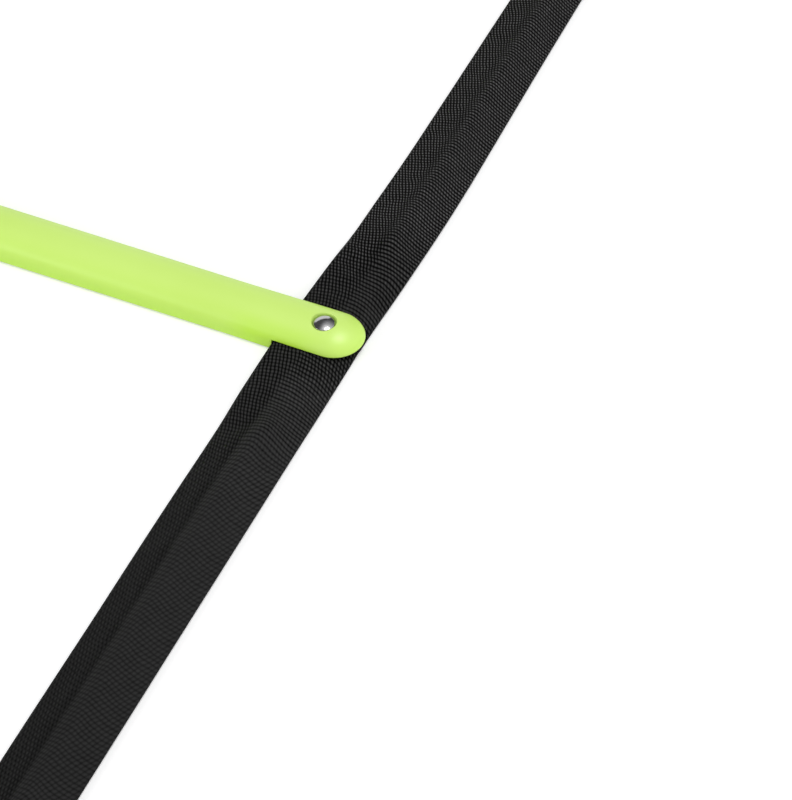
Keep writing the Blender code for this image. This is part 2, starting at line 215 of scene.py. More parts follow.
# How the weave changes along the strap: the metres behind the middle rung at which a change
# starts and ends, and the value before and after it
ALONG_THE_STRAP = {
    # How far a row runs along the strap for each metre across it, and how much it bows
    "slant_before": (-0.12, -0.07, 0.26, 0.11),
    "slant_behind": (0.02, 0.06, 0.26, 0.05),
    "bow_before": (-0.10, -0.04, -8.0, 12.0),
    "bow_behind": (0.03, 0.08, 1.0, 0.0),
    # Rows are beaten closer up to 70 mm behind the rung, and floats drift sideways after 40 mm
    "closer": (0.0, 0.07, 0.0, -0.009),
    "drift": (0.04, 1.04, 0.0, 0.09),
    # The ridge wanders: 4 mm inwards of the middle before the rung, 1 mm outwards behind it
    "ridge": (-0.03, 0.03, 0.004, -0.001),
    # Floats stand out by the rung, and line up the other way too in the front squares
    "floats_before": (-0.050, -0.025, 0.0, 0.8),
    "floats_behind": (0.01, 0.03, 1.0, 0.0),
    "crossed": (-0.10, -0.07, 1.0, 0.0),
    # The cloth is pressed flatter on the front squares, and beaten rougher on the back ones
    "pressed": (-0.14, -0.03, 0.42, 0.95),
    "beaten": (0.02, 0.10, 1.2, 2.35),
    "level": (0.02, 0.08, 0.62, 0.53),
    # Painted shade in the fold along the pad's edge, in the squares only
    "fold_shade_before": (-0.068, -0.055, 1.0, 0.0),
    "fold_shade_behind": (0.045, 0.060, 0.0, 1.0),
    # Painted light on the outer flank, lighter before the rung and darker behind it; and the whole
    # strap darker from 150 mm before the middle rung forwards
    "outer_flank_light": (-0.02, 0.05, 0.060, -0.045),
    "front_darker": (-0.30, -0.15, 0.93, 1.0),
}

# Half the strip along the ridge where one flank turns into the other, and what changes across it
RIDGE_HALF = 0.0015
ACROSS_THE_RIDGE = {
    "rows": (0.60, 0.82),
    "floats": (0.90, 0.36),
    "crossed": (0.4, 1.0),
    "outer": (0.0, 1.0),
}


def woven_polyester():
    """Black 600-denier polyester in plain weave, sewn into a sleeve.

    The eye sees rows of small shiny floats with dark gaps between them, and a grey sheen where
    the cloth turns away. The shine of the floats is painted into the colour as painted glints,
    and the dark of the gaps as painted shade, besides the bump. The outer flank carries painted
    light, and a strip along the pad's edge painted shade. Real threads are 0.4 mm apart, which
    is too fine to show, so the weave is drawn coarser: rows 2.4 mm apart, with floats 1.83 mm
    apart in them.
    """
    made, tree, shader = new_material("woven_polyester_black")
    place = add(tree, "UVMap", uv_map="sleeve")
    apart = add(tree, "SeparateXYZ", (place,))
    across, along = apart.outputs["X"], apart.outputs["Y"]
    at = {
        name: add(tree, "MapRange", (along, *change)) for name, change in ALONG_THE_STRAP.items()
    }
    from_ridge = add(tree, "Math", (across, at["ridge"]), operation="ADD")
    flank = {
        name: add(tree, "MapRange", (from_ridge, -RIDGE_HALF, RIDGE_HALF, *shares))
        for name, shares in ACROSS_THE_RIDGE.items()
    }
    # Threads wander by a fifth of a millimetre over 15 mm
    wander = add(tree, "TexNoise", {"Vector": place, "Scale": 65.0, "Detail": 2.0})
    stray = add(tree, "Math", (wander, 0.0024, -0.0012), operation="MULTIPLY_ADD")

    def ribbed(places, gap):
        """Rounded ribs with a dark line between them."""
        turn = add(tree, "Math", (places, pi / gap), operation="MULTIPLY")
        wave = add(tree, "Math", (turn,), operation="COSINE")
        return add(tree, "Math", (wave,), operation="ABSOLUTE")

    def slanted(lean, gap):
        """Floats in a row, each row shifted by less than half a float from the last."""
        shifted = add(tree, "Math", (along, lean, at["drift"]), operation="MULTIPLY_ADD")
        shifted = add(tree, "Math", (shifted, across), operation="ADD")
        return ribbed(add(tree, "Math", (shifted, stray), operation="ADD"), gap)

    def weighted(wave, weight):
        """The wave where the weight is 1, and level where it is 0."""
        dip = add(tree, "Math", (wave, 1.0), operation="SUBTRACT")
        return add(tree, "Math", (dip, weight, 1.0), operation="MULTIPLY_ADD")

    def thread_noise(across_scale, along_scale):
        """Lighter and darker threads: patches long one way and one thread wide the other."""
        spread = {"Vector": place, "Scale": (across_scale, along_scale, 1.0)}
        spread = add(tree, "Mapping", spread)
        return add(tree, "TexNoise", {"Vector": spread, "Scale": 1.0, "Detail": 1.0})

    # Rows lie slanted in the squares, and bow where the sleeve is flattened under the rung
    slant = add(tree, "Math", (at["slant_before"], at["slant_behind"]), operation="MINIMUM")
    bow = add(tree, "Math", (at["bow_before"], at["bow_behind"]), operation="MULTIPLY")
    slope = add(tree, "Math", (across, bow, slant), operation="MULTIPLY_ADD")
    # The cloth is stretched by an eighth more than 70 mm before the rung
    pulled = add(tree, "Math", (along, 0.07), operation="ADD")
    pulled = add(tree, "Math", (pulled, 0.0), operation="MINIMUM")
    pulled = add(tree, "Math", (pulled, -0.12, along), operation="MULTIPLY_ADD")
    pulled = add(tree, "Math", (pulled, at["closer"]), operation="ADD")
    leaning = add(tree, "Math", (across, slope, pulled), operation="MULTIPLY_ADD")
    leaning = add(tree, "Math", (leaning, stray), operation="ADD")

    # Floats on top of rows
    crossed = add(tree, "Math", (at["crossed"], flank["crossed"]), operation="MULTIPLY")
    floats = slanted(0.31, FLOATS_APART)
    other_way = slanted(-0.42, CROSSING_FLOATS_APART)
    other_way = add(tree, "Math", (other_way, floats), operation="SUBTRACT")
    floats = add(tree, "Math", (other_way, crossed, floats), operation="MULTIPLY_ADD")
    by_rung = (at["floats_before"], at["floats_behind"])
    by_rung = add(tree, "Math", by_rung, operation="MULTIPLY")
    float_share = add(tree, "Math", (by_rung, flank["floats"]), operation="MAXIMUM")
    float_share = add(tree, "Math", (crossed, 0.15, float_share), operation="MULTIPLY_ADD")
    row_share = add(tree, "Math", (crossed, -0.25, flank["rows"]), operation="MULTIPLY_ADD")
    rows = weighted(ribbed(leaning, ROWS_APART), row_share)
    woven = add(tree, "Math", (rows, weighted(floats, float_share)), operation="MULTIPLY")

    # Uneven threads, single filaments and slubs
    uneven = (thread_noise(700.0, 60.0), thread_noise(80.0, 420.0))
    uneven = add(tree, "Math", uneven, operation="ADD")
    fuzz = add(tree, "TexNoise", {"Vector": place, "Scale": 1500.0, "Detail": 2.0})
    fibrous = add(tree, "Math", (fuzz, 0.25, -0.42), operation="MULTIPLY_ADD")
    fibrous = add(tree, "Math", (uneven, 0.3, fibrous), operation="MULTIPLY_ADD")
    height = add(tree, "Math", (woven, 0.5), operation="SUBTRACT")
    height = add(tree, "Math", (height, at["beaten"], fibrous), operation="MULTIPLY_ADD")
    height = (height, at["pressed"], at["level"])
    height = add(tree, "Math", height, operation="MULTIPLY_ADD")
    bump = add(tree, "Bump", {"Height": height, "Strength": 0.7, "Distance": 0.00022})

    # Painted light on the outer flank, and painted shade in the fold along the pad's edge,
    # 2.7 mm inwards of the ridge
    from_fold = add(tree, "Math", (from_ridge, 0.0027), operation="ADD")
    from_fold = add(tree, "Math", (from_fold,), operation="ABSOLUTE")
    fold_shade = add(tree, "MapRange", (from_fold, 0.0, 0.0038, 0.07, 0.0))
    fold_shade_along = add(tree, "Math", (at["fold_shade_before"], at["fold_shade_behind"]), operation="MAXIMUM")
    fold_shade = add(tree, "Math", (fold_shade, fold_shade_along), operation="MULTIPLY")
    tone_with_painted_light_and_shade = (flank["outer"], at["outer_flank_light"], 0.600)
    tone_with_painted_light_and_shade = add(tree, "Math", tone_with_painted_light_and_shade, operation="MULTIPLY_ADD")
    tone_with_painted_light_and_shade = add(tree, "Math", (tone_with_painted_light_and_shade, fold_shade), operation="SUBTRACT")
    tone_with_painted_light_and_shade = add(tree, "Math", (tone_with_painted_light_and_shade, at["front_darker"]), operation="MULTIPLY")
    # The weave's height sets the colour too: floats lighter as painted glints, gaps darker as
    # painted shade
    shade = add(tree, "Math", (height, tone_with_painted_light_and_shade), operation="MULTIPLY")
    blacks_and_painted_glints = ((0.20, "010101"), (0.72, "3B3B3B"), (1.0, "6A6A6A"))
    tone = add(tree, "ValToRGB", (shade,), stops=blacks_and_painted_glints)
    feed(tree, shader, {"Base Color": tone, "Normal": bump})
    feed(tree, shader, {"Roughness": 0.5, "IOR": 1.5, "Specular IOR Level": 0.015})
    return made


def polyester_thread():
    """Twisted black polyester sewing thread: a little shinier than the cloth that it holds."""
    made, tree, shader = new_material("polyester_thread_black")
    place = add(tree, "TexCoord").outputs["Object"]
    # Turns of the twist, about 0.35 mm apart, painted lighter on their crests and darker in the
    # grooves as painted shade, besides the bump
    twist = add(tree, "TexWave", {"Vector": place, "Scale": 900.0, "Distortion": 1.0})
    twist = twist.outputs["Fac"]
    tone = add(tree, "ValToRGB", (twist,), stops=((0.0, "1C1C1E"), (1.0, "3C3C3F")))
    bump = add(tree, "Bump", {"Height": twist, "Strength": 0.5, "Distance": 0.0001})
    feed(tree, shader, {"Base Color": tone, "Normal": bump, "Roughness": 0.5, "IOR": 1.5})
    return made


def plated_steel(name, light, dark, roughness, scratch_strength):
    """Nickel or zinc plate over pressed steel.

    The eye sees the studio mirrored in it, a little blurred, with hairline scratches from the
    tool that set it and a faint yellow-grey or blue-grey cast.
    """
    made, tree, shader = new_material(name)
    place = add(tree, "TexCoord").outputs["Object"]
    stretched = {"Vector": place, "Rotation": (0, 0, 0.6), "Scale": (1, 12, 1)}
    stretched = add(tree, "Mapping", stretched)
    # Hairlines about 0.2 mm apart
    hairs = add(tree, "TexNoise", {"Vector": stretched, "Scale": 420.0, "Detail": 3.0})
    tone = add(tree, "ValToRGB", (hairs,), stops=((0.3, dark), (0.7, light)))
    sheen = add(tree, "MapRange", (hairs, 0.0, 1.0, roughness * 0.75, roughness * 1.3))
    bump = {"Height": hairs, "Strength": scratch_strength, "Distance": 0.00005}
    bump = add(tree, "Bump", bump)
    feed(tree, shader, {"Base Color": tone, "Roughness": sheen, "Normal": bump, "Metallic": 1.0})
    return made


# Making a mesh

# Points closer than a micrometre are one point, and faces that meet more sharply show an edge
WELD = 1e-6
SHARP_EDGE = radians(42)
SHARP_CLOTH_EDGE = radians(60)


def grid(bm, rows):
    """Faces between rows of as many points each. Points that coincide are welded later."""
    vertices = [[bm.verts.new(point) for point in row] for row in rows]
    for near, far in zip(vertices, vertices[1:]):
        for i in range(len(near) - 1):
            bm.faces.new((near[i], near[i + 1], far[i + 1], far[i]))


def flat_face(bm, points):
    """One face with as many corners as points."""
    bm.faces.new([bm.verts.new(point) for point in points])


def linked(name, mesh):
    piece = bpy.data.objects.new(name, mesh)
    bpy.context.scene.collection.objects.link(piece)
    return piece


def finished(name, bm, materials, sharp_over):
    """The mesh as a piece of the scene: facing outwards, and smooth but at its edges."""
    bmesh.ops.recalc_face_normals(bm, faces=bm.faces)
    mesh = bpy.data.meshes.new(name)
    bm.to_mesh(mesh)
    bm.free()
    mesh.shade_smooth()
    mesh.set_sharp_from_angle(angle=sharp_over)
    for material in materials:
        mesh.materials.append(material)
    return linked(name, mesh)


def welded(name, bm, materials):
    """A piece whose faces have only been laid edge to edge: their points are joined first."""
    bmesh.ops.remove_doubles(bm, verts=bm.verts, dist=WELD)
    bmesh.ops.dissolve_degenerate(bm, edges=bm.edges, dist=WELD)
    return finished(name, bm, materials, SHARP_EDGE)


def arc(centre, radius, start, end, steps):
    """Points of an arc in the profile's plane, from one angle to another."""
    angles = [start + (end - start) * i / steps for i in range(steps + 1)]
    return [(centre[0] + radius * cos(a), centre[1] + radius * sin(a)) for a in angles]


def turned(name, profile, steps, material, closed=False):
    """A piece turned about Z from points at +X."""
    bm = bmesh.new()
    outline = profile + profile[:1] if closed else profile
    rows = []
    for i in range(steps + 1):
        angle = 2 * pi * i / steps
        rows.append([(r * cos(angle), r * sin(angle), z) for r, z in outline])
    grid(bm, rows)
    return welded(name, bm, [material])


# Rungs


def half_width(x):
    """The bar's half width, which flares a little towards the end over the strap."""
    flare = smooth((x - (DOME_X - FLARE_RUN)) / FLARE_RUN)
    return BAR_HALF_WIDTH + (END_RADIUS - BAR_HALF_WIDTH) * flare


def crown(x, y):
    """The height of the rung's skin."""
    past = max(x - DOME_X, 0.0)
    share = min((past * past + y * y) / half_width(x) ** 2, 1.0)
    return RUNG_SIDE + RUNG_CROWN * sqrt(1 - share)


def rung_skin(bm, stations, lip_angle):
    """The bar's crown and sides from foot to foot, between the middle and the notch."""
    steps = [lip_angle * (i / CROWN_STEPS - 1) for i in range(2 * CROWN_STEPS + 1)]
    low = [(lip_angle + pi / 2) / 2, pi / 2]
    angles = [-a for a in reversed(low)] + steps + low
    rows = []
    for x in stations:
        half = half_width(x)
        foot = arc((half - FOOT_ROUND, FOOT_ROUND), FOOT_ROUND, 0, -pi / 2, 3)
        foot[0] = (half, FOOT_ROUND)
        row = [(x, -y, z) for y, z in reversed(foot)]
        row += [(x, half * sin(a), RUNG_SIDE + RUNG_CROWN * cos(a)) for a in angles]
        row += [(x, y, z) for y, z in foot]
        rows.append(row)
    grid(bm, rows)
    return rows[-1], [half_width(NOTCH_X) * sin(a) for a in steps]


def rung_underside(bm, stations):
    """The flat foot of the bar, and the arched pockets that leave an even wall and thin ribs."""
    arch = [(-POCKET_HALF_WIDTH, 0.0)]
    for i in range(POCKET_ARCH_STEPS + 1):
        angle = pi * (1 - i / POCKET_ARCH_STEPS)
        arch.append((POCKET_HALF_WIDTH * cos(angle), RUNG_SIDE + POCKET_RISE * sin(angle)))
    arch.append((POCKET_HALF_WIDTH, 0.0))
    pockets = [(start, start + POCKET_LENGTH) for start in POCKET_STARTS]
    for near, far in zip(stations, stations[1:]):
        for side in (-1, 1):
            edges = [
                [(x, side * (half_width(x) - FOOT_ROUND), 0), (x, side * POCKET_HALF_WIDTH, 0)]
                for x in (near, far)
            ]
            grid(bm, edges)
        middle = (near + far) / 2
        if any(start < middle < end for start, end in pockets):
            grid(bm, [[(x, y, z) for y, z in arch] for x in (near, far)])
        else:
            grid(bm, [[(x, -POCKET_HALF_WIDTH, 0), (x, POCKET_HALF_WIDTH, 0)] for x in (near, far)])
    for start, end in pockets:
        for x in (start, end):
            if x > 0:
                flat_face(bm, [(x, y, z) for y, z in arch])


def rung_end(bm, edge_row, line_ys):
    """The domed end over the strap: rays from the rivet's dish out to the notch and the rim."""
    share = line_ys[-1] / half_width(NOTCH_X)
    sides = [NOTCH_X + (DOME_X - NOTCH_X) * i / END_SIDE_STEPS for i in range(END_SIDE_STEPS)]
    rim = [(x, share * half_width(x)) for x in sides]
    for i in range(END_ARC_STEPS + 1):
        angle = pi / 2 - pi * i / END_ARC_STEPS
        rim.append((DOME_X + share * END_RADIUS * cos(angle), share * END_RADIUS * sin(angle)))
    rim += [(x, -share * half_width(x)) for x in reversed(sides)]
    line = [(NOTCH_X, y) for y in line_ys[1:-1]]
    ends = rim + line
    lip_top = TAB_BOTTOM + LIP_ROUND

    rays, lips, feet = [], [], []
    for i, (x, y) in enumerate(ends):
        angle = atan2(y, x - RIVET_X)
        ray = [(SHANK_HOLE, TAB_BOTTOM), (SHANK_HOLE, DISH_FLOOR)]
        ray = [(RIVET_X + r * cos(angle), r * sin(angle), z) for r, z in ray]
        for radius in DISH_RADII:
            px, py = RIVET_X + radius * cos(angle), radius * sin(angle)
            wall = smooth((radius - DISH_WALL[0]) / (DISH_WALL[1] - DISH_WALL[0]))
            ray.append((px, py, DISH_FLOOR + (crown(px, py) - DISH_FLOOR) * wall))
        start_x, start_y = ray[-1][0], ray[-1][1]
        for k in range(1, CROWN_RINGS + 1):
            out = 1 - (1 - k / CROWN_RINGS) ** RING_CROWDING
            px, py = start_x + (x - start_x) * out, start_y + (y - start_y) * out
            at_lip = k == CROWN_RINGS and i < len(rim)
            ray.append((px, py, lip_top if at_lip else crown(px, py)))
        rays.append(ray)
        if i >= len(rim):
            inward = 1 - LIP_ROUND / line_ys[-1]
            feet.append((x, y * inward, TAB_BOTTOM))
            continue
        past = max(x - DOME_X, 0.0)
        reach = hypot(past, y)
        lip = []
        for turn in LIP_TURNS:
            keep = (reach - LIP_ROUND * (1 - cos(turn))) / reach
            z = lip_top - LIP_ROUND * sin(turn)
            lip.append((min(x, DOME_X) + past * keep, y * keep, z))
        lips.append(lip)
        feet.append(lip[-1])
    grid(bm, rays + rays[:1])
    grid(bm, lips)
    hole = [ray[0] for ray in rays]
    grid(bm, [list(pair) for pair in zip(feet, hole)] + [[feet[0], hole[0]]])

    # The upright face of the notch, from the tab's lip down to the foot and back
    low_side = [p for p in edge_row if p[1] > 0 and p[2] < lip_top - WELD]
    low_side.append((NOTCH_X, POCKET_HALF_WIDTH, 0))
    face = list(reversed(lips[0])) + low_side
    face += [(x, -y, z) for x, y, z in reversed(low_side)]
    face += lips[-1] + feet[len(rim):]
    flat_face(bm, face)


def rung_mesh(material):
    """One rung: half of it made and mirrored."""
    lip_angle = acos((TAB_BOTTOM + LIP_ROUND - RUNG_SIDE) / RUNG_CROWN)
    stations = {0.0, NOTCH_X}
    for start in POCKET_STARTS:
        stations |= {x for x in (start, start + POCKET_LENGTH) if x > 0}
    flare_start = DOME_X - FLARE_RUN
    stations |= {flare_start + (NOTCH_X - flare_start) * i / 4 for i in range(4)}
    stations = sorted(stations)
    bm = bmesh.new()
    edge_row, line_ys = rung_skin(bm, stations, lip_angle)
    rung_underside(bm, stations)
    rung_end(bm, edge_row, line_ys)
    bmesh.ops.remove_doubles(bm, verts=bm.verts, dist=WELD)
    half = bm.verts[:] + bm.edges[:] + bm.faces[:]
    bmesh.ops.mirror(bm, geom=half, axis="X", merge_dist=WELD)
    piece = welded("rung", bm, [material])
    mesh = piece.data
    bpy.data.objects.remove(piece)
    return mesh


# Rivets, washers and eyelets


def rivet_profile():
    """A low domed head, a shank, and its hollow end rolled outwards under the washer."""
    head, rise, rim_top, under = 0.0055, 0.0012, 0.0124, 0.0115
    edge, shank, rolled = 0.0003, 0.0024, 0.0004
    reach = head - edge * 0.5
    sphere = (reach * reach + rise * rise) / (2 * rise)
    centre = rim_top + rise - sphere
    out = [reach * i / 16 for i in range(17)]
    profile = [(r, centre + sqrt(sphere ** 2 - r ** 2)) for r in out]
    profile += arc((head - edge, rim_top - edge), edge, pi * 0.3, 0, 3)
    profile += arc((head - edge, under + edge), edge, 0, -pi / 2, 3)
    profile += [(shank, under), (shank, 0.00075)]
    profile += arc((SHANK_HOLE, rolled), rolled, pi / 2, -pi / 2, 8)
    profile += [(0.0021, 0.0001), (0.0017, 0.0005), (0.0015, 0.0016), (0, 0.0020)]
    return profile


def washer_profile():
    """A flat ring with rounded edges."""
    inner, outer, low, high, edge = 0.0027, 0.0050, 0.0008, 0.0016, 0.00025
    profile = arc((outer - edge, high - edge), edge, pi / 2, 0, 3)
    profile += arc((outer - edge, low + edge), edge, 0, -pi / 2, 3)
    profile += arc((inner + edge, low + edge), edge, -pi / 2, -pi, 3)
    profile += arc((inner + edge, high - edge), edge, pi, pi / 2, 3)
    return profile


def eyelet_profile():
    """A crowned flange on top, a barrel, and a flatter rolled flange underneath."""
    bore, barrel, flange = 0.0050, 0.0058, 0.0095
    top, under_top, low = 0.0054, 0.00455, 0.0007
    profile = [(flange, under_top), (flange, under_top + 0.0002)]
    profile += [(0.0091, 0.0050), (0.0083, 0.00525), (0.0073, top), (0.0064, 0.00535)]
    profile += [(0.0057, 0.0051), (0.0052, 0.0046), (bore, 0.0040), (bore, 0.0012)]
    profile += [(0.0052, 0.0006), (0.0058, 0.0002), (0.0067, 0), (0.0080, 0), (0.0090, 0.0002)]
    profile += [(flange, 0.0005), (flange, low), (barrel, low), (barrel, under_top)]
    return profile


# Straps


def spline(shares, heights, samples):
    """Heights at the samples on a smooth curve through the given ones."""
    slopes = np.gradient(heights, shares)
    out = []
    for s in samples:
        i = int(np.clip(np.searchsorted(shares, s) - 1, 0, len(shares) - 2))
        run = shares[i + 1] - shares[i]
        t = (s - shares[i]) / run
        out.append(
            (2 * t ** 3 - 3 * t ** 2 + 1) * heights[i]
            + (t ** 3 - 2 * t ** 2 + t) * run * slopes[i]
            + (3 * t ** 2 - 2 * t ** 3) * heights[i + 1]
            + (t ** 3 - t ** 2) * run * slopes[i + 1]
        )
    return np.array(out)


ACROSS = np.linspace(0, 1, 37)
FULL = spline(SHARES, FULL_MM, ACROSS) * MM
FLAT_FRONT = spline(SHARES, FLAT_FRONT_MM, ACROSS) * MM
FLAT_BACK = spline(SHARES, FLAT_BACK_MM, ACROSS) * MM
TAIL_THICK = 0.0032
TAIL_THIN_START = 0.020
TAIL_THIN_RUN = 0.010
HEM_THICK = 0.0046
HEM_START = 0.0365
HEM_STEP_RUN = 0.0008
HEM_TO_STITCH = 0.003
END_TO_STITCH = 0.004
# Wobbles start this far from a rung and die out this close to a seam, each over a run
WOBBLE_START, WOBBLE_RUN = 0.016, 0.020
SEAM_STILL, SEAM_RUN = 0.003, 0.012
UNDER_ACROSS = (
    0.94, 0.88, 0.80, 0.72, 0.655, 0.65, 0.60, 0.54, 0.50,
    0.46, 0.40, 0.345, 0.34, 0.28, 0.20, 0.12, 0.06,
)
LAP = (0.345, 0.655)
LAP_STEP = 0.0003
UNDER_RUNG = 0.026
PRESS_END = 0.047
PUFF_END = 0.079
EDGE_STEPS = 5
EDGE_REACH = 0.0016
# How wide round its middle each washer and eyelet presses the cloth up from below, how far,
# and over what length that dies out
WASHER_PRESS = (0.0053, 0.00185)
EYELET_PRESS = (0.0098, 0.0010)
PRESS_RUN = 0.003
EYELET_BORE = 0.0059
THREAD_RADIUS = 0.0003
STITCH_LENGTH = 0.0036
# A stitch: the share of its length, the rise and the thickness in thread radii
STITCH_ARCH = (
    (0, -0.5, 0.5), (0.06, 0.1, 0.85), (0.25, 0.6, 1),
    (0.6, 0.6, 1), (0.79, 0.1, 0.85), (0.85, -0.5, 0.5),
)
STITCH_GAP = 0.075
STITCH_BOX_HALF = 0.0165
STITCH_ROWS_APART = 0.0045
# Sections along a strap: close together where the washer presses it, wider apart elsewhere
CLOSE_WITHIN = 0.0105
CLOSE_STEP = 0.001
WIDE_STEP = 0.0022
# Each pucker by the middle rung: where along, where across, how high, how far along and across
MIDDLE_PUCKERS = [
    (-0.061, 0.12, 0.0011, 0.0065, 0.14),
    (-0.074, 0.24, -0.0010, 0.0065, 0.14),
    (-0.052, 0.75, 0.0005, 0.0060, 0.20),
    (0.055, 0.30, -0.0006, 0.0080, 0.20),
    (0.070, 0.65, 0.0005, 0.0080, 0.20),
]


def pressed_up(x, y, spots):
    """How far the underside is pushed up round each washer or eyelet."""
    lift = 0.0
    for spot_x, spot_y, radius, depth in spots:
        past = hypot(x - spot_x, y - spot_y) - radius
        lift = max(lift, depth * (1 - smooth(past / PRESS_RUN)))
    return lift


class Sleeve:
    """One strap as a sleeve of cloth, with its own wobbles: its section anywhere along Y."""

    def __init__(self, side, seed):
        self.side = side
        dice = random.Random(seed)
        # Waves of the cloth: how high, turns along and across, and where each starts
        self.waves = [
            (
                dice.uniform(0.00006, 0.00016),
                dice.uniform(90, 260),
                dice.uniform(-90, 90),
                dice.uniform(0, 2 * pi),
            )
            for _ in range(6)
        ]
        # How each bay is drawn in, spreads, and shifts its ridge
        self.bays = []
        for _ in range(1, RUNG_COUNT):
            inner = dice.uniform(0.3, 4.5) * DRAWN_IN
            outer = dice.uniform(0.0, 1.6) * SPREAD
            self.bays.append([inner, outer, dice.uniform(-0.02, 0.03)])
        # Three puckers on each side of each rung
        self.puckers = []
        for number in range(1, RUNG_COUNT + 1):
            for along in (-1, 1):
                for _ in range(3):
                    y = rung_y(number) + along * dice.uniform(0.050, 0.085)
                    size = dice.choice((-1, 1)) * dice.uniform(0.0003, 0.0008)
                    run = dice.uniform(0.005, 0.010)
                    middle, spread = dice.uniform(0.05, 0.95), dice.uniform(0.12, 0.25)
                    self.puckers.append((y, middle, size, run, spread))
        self.spots = [(RIVET_X, rung_y(n), *WASHER_PRESS) for n in range(1, RUNG_COUNT + 1)]
        for along, number in ((-1, 1), (1, RUNG_COUNT)):
            y = rung_y(number) + along * EYELET_FROM_RUNG
            self.spots.append((STRAP_X, y, *EYELET_PRESS))

    def in_bay(self, y):
        """How far y is from the nearest rung and how far behind it, its bay, and how far in."""
        last = RUNG_COUNT // 2
        number = min(max(round(y / RUNG_PITCH), -last), last)
        offset = y - number * RUNG_PITCH
        index = number + last if offset >= 0 else number + last - 1
        bay = self.bays[index] if 0 <= index < RUNG_COUNT - 1 else None
        return abs(offset), offset, bay, y - rung_y(index + 1)

    def damp(self, distance, bay):
        """Wobbles die away at the seams between pieces and where a rung holds the cloth."""
        if bay is None:
            return 0.0
        from_seam = abs(distance - (SEAT_HALF + HALF_BAY / 2))
        from_rung = smooth((distance - WOBBLE_START) / WOBBLE_RUN)
        return from_rung * smooth((from_seam - SEAM_STILL) / SEAM_RUN)

    def edges(self, y):
        """The sleeve's inner and outer edge as distances from the middle of the ladder."""
        _, _, bay, into = self.in_bay(y)
        inner, outer = STRAP_X - STRAP_WIDTH / 2, STRAP_X + STRAP_WIDTH / 2
        if bay is None:
            return inner, outer
        inner += MM * spline(PLACES_MM, bay[0], [into / MM])[0]
        outer += MM * spline(PLACES_MM, bay[1], [into / MM])[0]
        return inner, outer

    def section(self, y):
        """The ring of points (x, z) round the sleeve."""
        distance, offset, bay, _ = self.in_bay(y)
        inner, outer = self.edges(y)
        width = outer - inner
        behind = smooth(offset / UNDER_RUNG + 0.5)
        flat = FLAT_BACK * behind + FLAT_FRONT * (1 - behind)
        if bay is None:
            share = smooth((distance - TAIL_THIN_START) / TAIL_THIN_RUN)
            turned_over = smooth((distance - HEM_START) / HEM_STEP_RUN + 0.5)
            plain = TAIL_THICK + (HEM_THICK - TAIL_THICK) * turned_over
            heights = flat * (1 - share) + plain * share
        else:
            puff = smooth((distance - PRESS_END) / (PUFF_END - PRESS_END))
            shift = bay[2] * puff
            full = np.interp(ACROSS - shift * np.sin(pi * ACROSS), ACROSS, FULL)
            heights = flat * (1 - puff) + full * puff
            wobble = np.zeros(len(ACROSS))
            for size, per_y, per_x, phase in self.waves:
                wobble += size * np.sin(per_y * y + per_x * ACROSS * STRAP_WIDTH + phase)
            for at, middle, size, run, spread in self.puckers:
                if abs(y - at) < 3 * run:
                    near_edge = np.sin(pi * np.clip(ACROSS, 0.02, 0.98)) ** 0.5
                    swell = np.exp(-(((ACROSS - middle) / spread) ** 2)) / near_edge
                    wobble += size * exp(-(((y - at) / run) ** 2)) * swell
            wobble *= self.damp(distance, bay) * (0.4 + 0.6 * puff)
            heights = heights + wobble * np.sin(pi * ACROSS)
        reach_in = min(EDGE_REACH, heights[0] / 2)
        reach_out = min(EDGE_REACH, heights[-1] / 2)
        xs = inner + reach_in + ACROSS * (width - reach_in - reach_out)
        ring = list(zip(xs, heights))
        half = heights[-1] / 2
        for k in range(1, EDGE_STEPS + 1):
            angle = pi / 2 - pi * k / (EDGE_STEPS + 1)
            ring.append((outer - reach_out + reach_out * cos(angle), half + half * sin(angle)))
        for share in (1.0, *UNDER_ACROSS, 0.0):
            x = inner + reach_in + share * (width - reach_in - reach_out)
            step = 0.0 if LAP[0] <= share <= LAP[1] or share in (0.0, 1.0) else LAP_STEP
            ring.append((x, step + pressed_up(x, y, self.spots)))
        half = heights[0] / 2
        for k in range(1, EDGE_STEPS + 1):
            angle = -pi / 2 - pi * k / (EDGE_STEPS + 1)
            ring.append((inner + reach_in + reach_in * cos(angle), half + half * sin(angle)))
        if bay is None and distance > TAIL_LENGTH - HEM_THICK / 2:
            past = min((distance - TAIL_LENGTH) / (HEM_THICK / 2) + 1, 0.998)
            rounded = sqrt(1 - past * past)
            ring = [(x, HEM_THICK / 2 + (z - HEM_THICK / 2) * rounded) for x, z in ring]
        return ring

    def along_ring(self, ring):
        """The distance of each point along the ring from the ridge, for the weave."""
        middle = len(ACROSS) // 2
        steps = [hypot(b[0] - a[0], b[1] - a[1]) for a, b in zip(ring, ring[1:] + ring[:1])]
        places = [0.0]
        for step in steps:
            places.append(places[-1] + step)
        return [place - places[middle] for place in places]


def bored(piece, x, y):
    """The piece with the eyelet's hole through it."""
    bm = bmesh.new()
    size = {"radius1": EYELET_BORE, "radius2": EYELET_BORE, "depth": 0.02}
    bmesh.ops.create_cone(bm, cap_ends=True, segments=48, **size)
    bmesh.ops.translate(bm, verts=bm.verts, vec=(x, y, 0.002))
    punch = welded("eyelet_punch", bm, [])
    cut = piece.modifiers.new("bore", "BOOLEAN")
    cut.operation, cut.solver, cut.object = "DIFFERENCE", "EXACT", punch
    cut_piece = piece.evaluated_get(bpy.context.evaluated_depsgraph_get())
    piece.data = bpy.data.meshes.new_from_object(cut_piece)
    piece.modifiers.clear()
    piece.data.set_sharp_from_angle(angle=SHARP_CLOTH_EDGE)
    bpy.data.objects.remove(punch)


